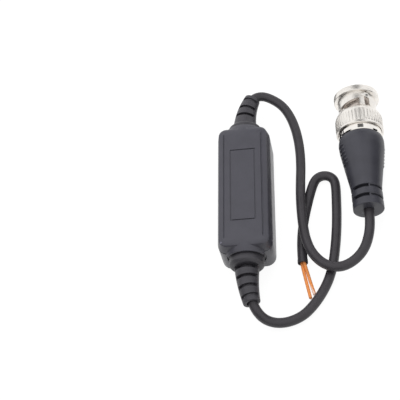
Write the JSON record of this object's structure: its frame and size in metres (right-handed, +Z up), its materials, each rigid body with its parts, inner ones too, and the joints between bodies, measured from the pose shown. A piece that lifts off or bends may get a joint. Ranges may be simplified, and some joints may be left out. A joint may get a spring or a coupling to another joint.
{
  "type": "cctv video balun",
  "caption": "Passive video balun: bevelled plastic housing with ribbed strain reliefs, a short coax lead with a bayonet plug, and a pair lead that ends in loose stripped-back wires.",
  "frame": {"origin": "on the floor that the balun lies on, under the middle of its housing", "axes": "+Z up through the front cover, +Y along the housing towards the coax end, +X towards the plug"},
  "size_m": [0.0505, 0.0792, 0.0144],
  "materials": {
    "housing": "fine satin moulding",
    "relief": "satin soft PVC",
    "cable_jacket": "satin PVC",
    "wire_orange": "satin insulation",
    "wire_orange_white": "satin insulation with a pale stripe",
    "board": "solder mask",
    "ferrite": "matt sintered",
    "enamel_wire": "enamelled copper",
    "moulding": "matt epoxy",
    "ceramic": "matt ceramic",
    "tinned_wire": "tinned copper",
    "solder": "bright solder",
    "nickel": "bright nickel plate",
    "insulator": "white fluoropolymer",
    "gold_plate": "gold plate",
    "gasket": "silicone rubber",
    "spring_steel": "spring bronze, plated",
    "boot": "satin soft PVC",
    "foam": "foamed polyethylene"
  },
  "bodies": {
    "balun": {"rear_shell": "housing", "front_cover": "housing", "coax_relief": "relief", "pair_relief": "relief", "coax_cable": "cable_jacket", "pair_cable": "cable_jacket", "wire_orange": "wire_orange", "wire_orange_white": "wire_orange_white", "circuit_board": "board", "transformer_core": "ferrite", "primary_winding": "enamel_wire", "secondary_winding": "enamel_wire", "surge_diode": "moulding", "load_resistor": "moulding", "line_capacitor": "ceramic", "coax_signal_lead": "tinned_wire", "coax_braid_lead": "tinned_wire", "pair_orange_lead": "wire_orange", "pair_white_lead": "wire_orange_white", "solder_joints": "solder", "plug_body": "nickel", "outer_contact": "nickel", "plug_insulator": "insulator", "centre_pin": "gold_plate", "mouth_gasket": "gasket", "retaining_ring": "spring_steel", "crimp_ferrule": "nickel", "plug_boot": "boot", "coax_dielectric": "foam"},
    "washer": {"spring_washer": "spring_steel"},
    "nut": {"coupling_nut": "nickel"}
  },
  "joints": [
    {"name": "nut_spring_travel", "type": "slide", "parent": "balun", "child": "washer", "axis": [-0.0262, 0.9997, 0], "range_m": [0, 0.0005], "stiffness_N_per_m": 5000, "deforming": ["spring_washer"]},
    {"name": "nut_turn", "type": "hinge", "parent": "washer", "child": "nut", "pos_m": [0.0349, 0.0321, 0.00725], "axis": [0.0262, -0.9997, 0], "continuous": true}
  ]
}
